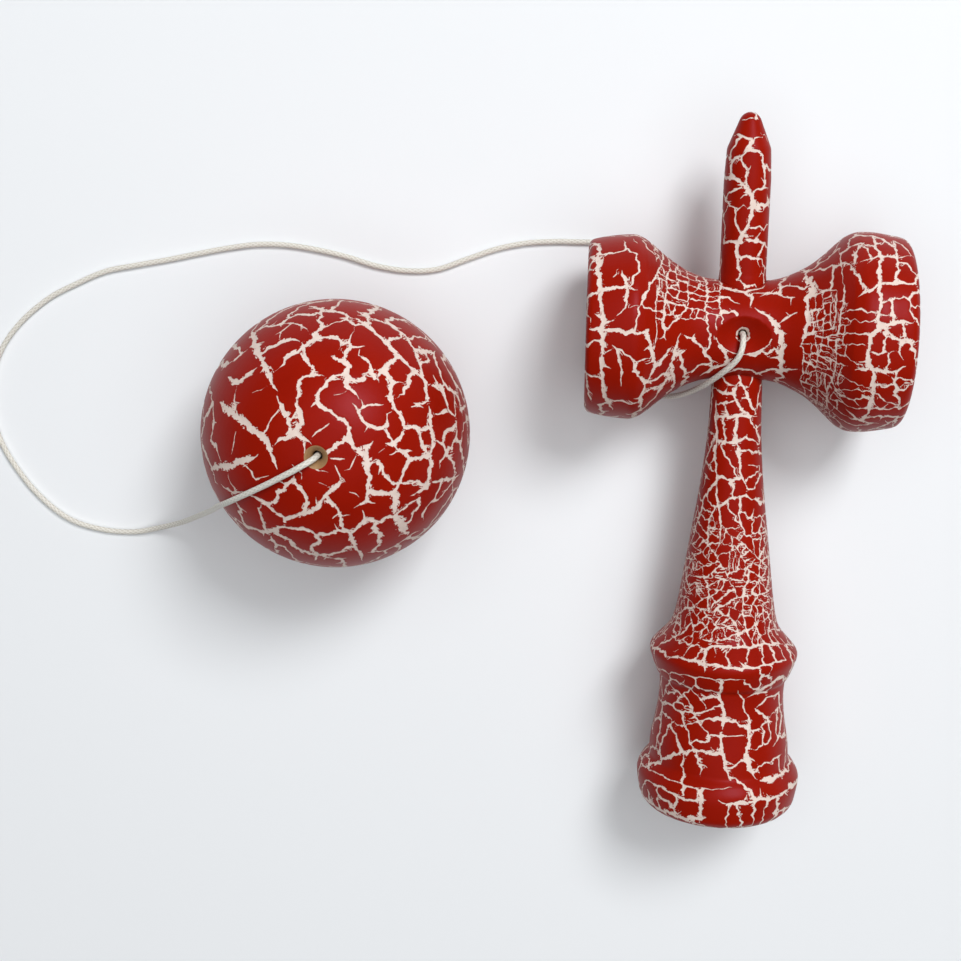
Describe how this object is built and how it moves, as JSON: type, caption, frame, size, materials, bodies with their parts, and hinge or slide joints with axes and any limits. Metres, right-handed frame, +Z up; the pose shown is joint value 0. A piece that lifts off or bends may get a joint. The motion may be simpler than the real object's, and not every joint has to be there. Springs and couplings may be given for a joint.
{
  "type": "cup and ball toy",
  "caption": "Cup and ball toy: turned handle with a spike and base cup, cross cup with a cup at each end, and a drilled ball tethered by a cord, in crackle paint.",
  "frame": {"origin": "middle of the toy's footprint on the table it lies on, cord left out", "axes": "+Z up from the table, +Y along the handle towards the spike, +X along the cross cup towards the big cup"},
  "size_m": [0.2145, 0.1598, 0.0599],
  "materials": {
    "crackle_lacquer": "red crackle paint over a cream base coat on turned hardwood, satin lacquer",
    "bead": "smooth moulded",
    "cord": "fine braided cord"
  },
  "bodies": {
    "handle": {"handle": "crackle_lacquer", "handle_knot": "cord", "cord_in_handle": "cord", "cord_run": "cord"},
    "cross_cup": {"cross_cup": "crackle_lacquer", "cord_front": "cord"},
    "cord_end": {"bead": "bead", "ball_knot": "cord", "cord_in_ball": "cord"},
    "ball": {"ball": "crackle_lacquer"}
  },
  "joints": [
    {"name": "cross_cup_pull", "type": "slide", "parent": "handle", "child": "cross_cup", "axis": [0, 0.9998, 0.0222], "range_m": [0, 0.06], "deforming": ["cord_in_handle", "cord_front"]},
    {"name": "ball_lift", "type": "slide", "parent": "handle", "child": "cord_end", "axis": [0, 0, 1], "range_m": [0, 0.12], "deforming": ["cord_run"]},
    {"name": "ball_spin", "type": "hinge", "parent": "cord_end", "child": "ball", "pos_m": [-0.0478, 0.0082, 0.02783], "axis": [0, 0, 1], "continuous": true}
  ]
}
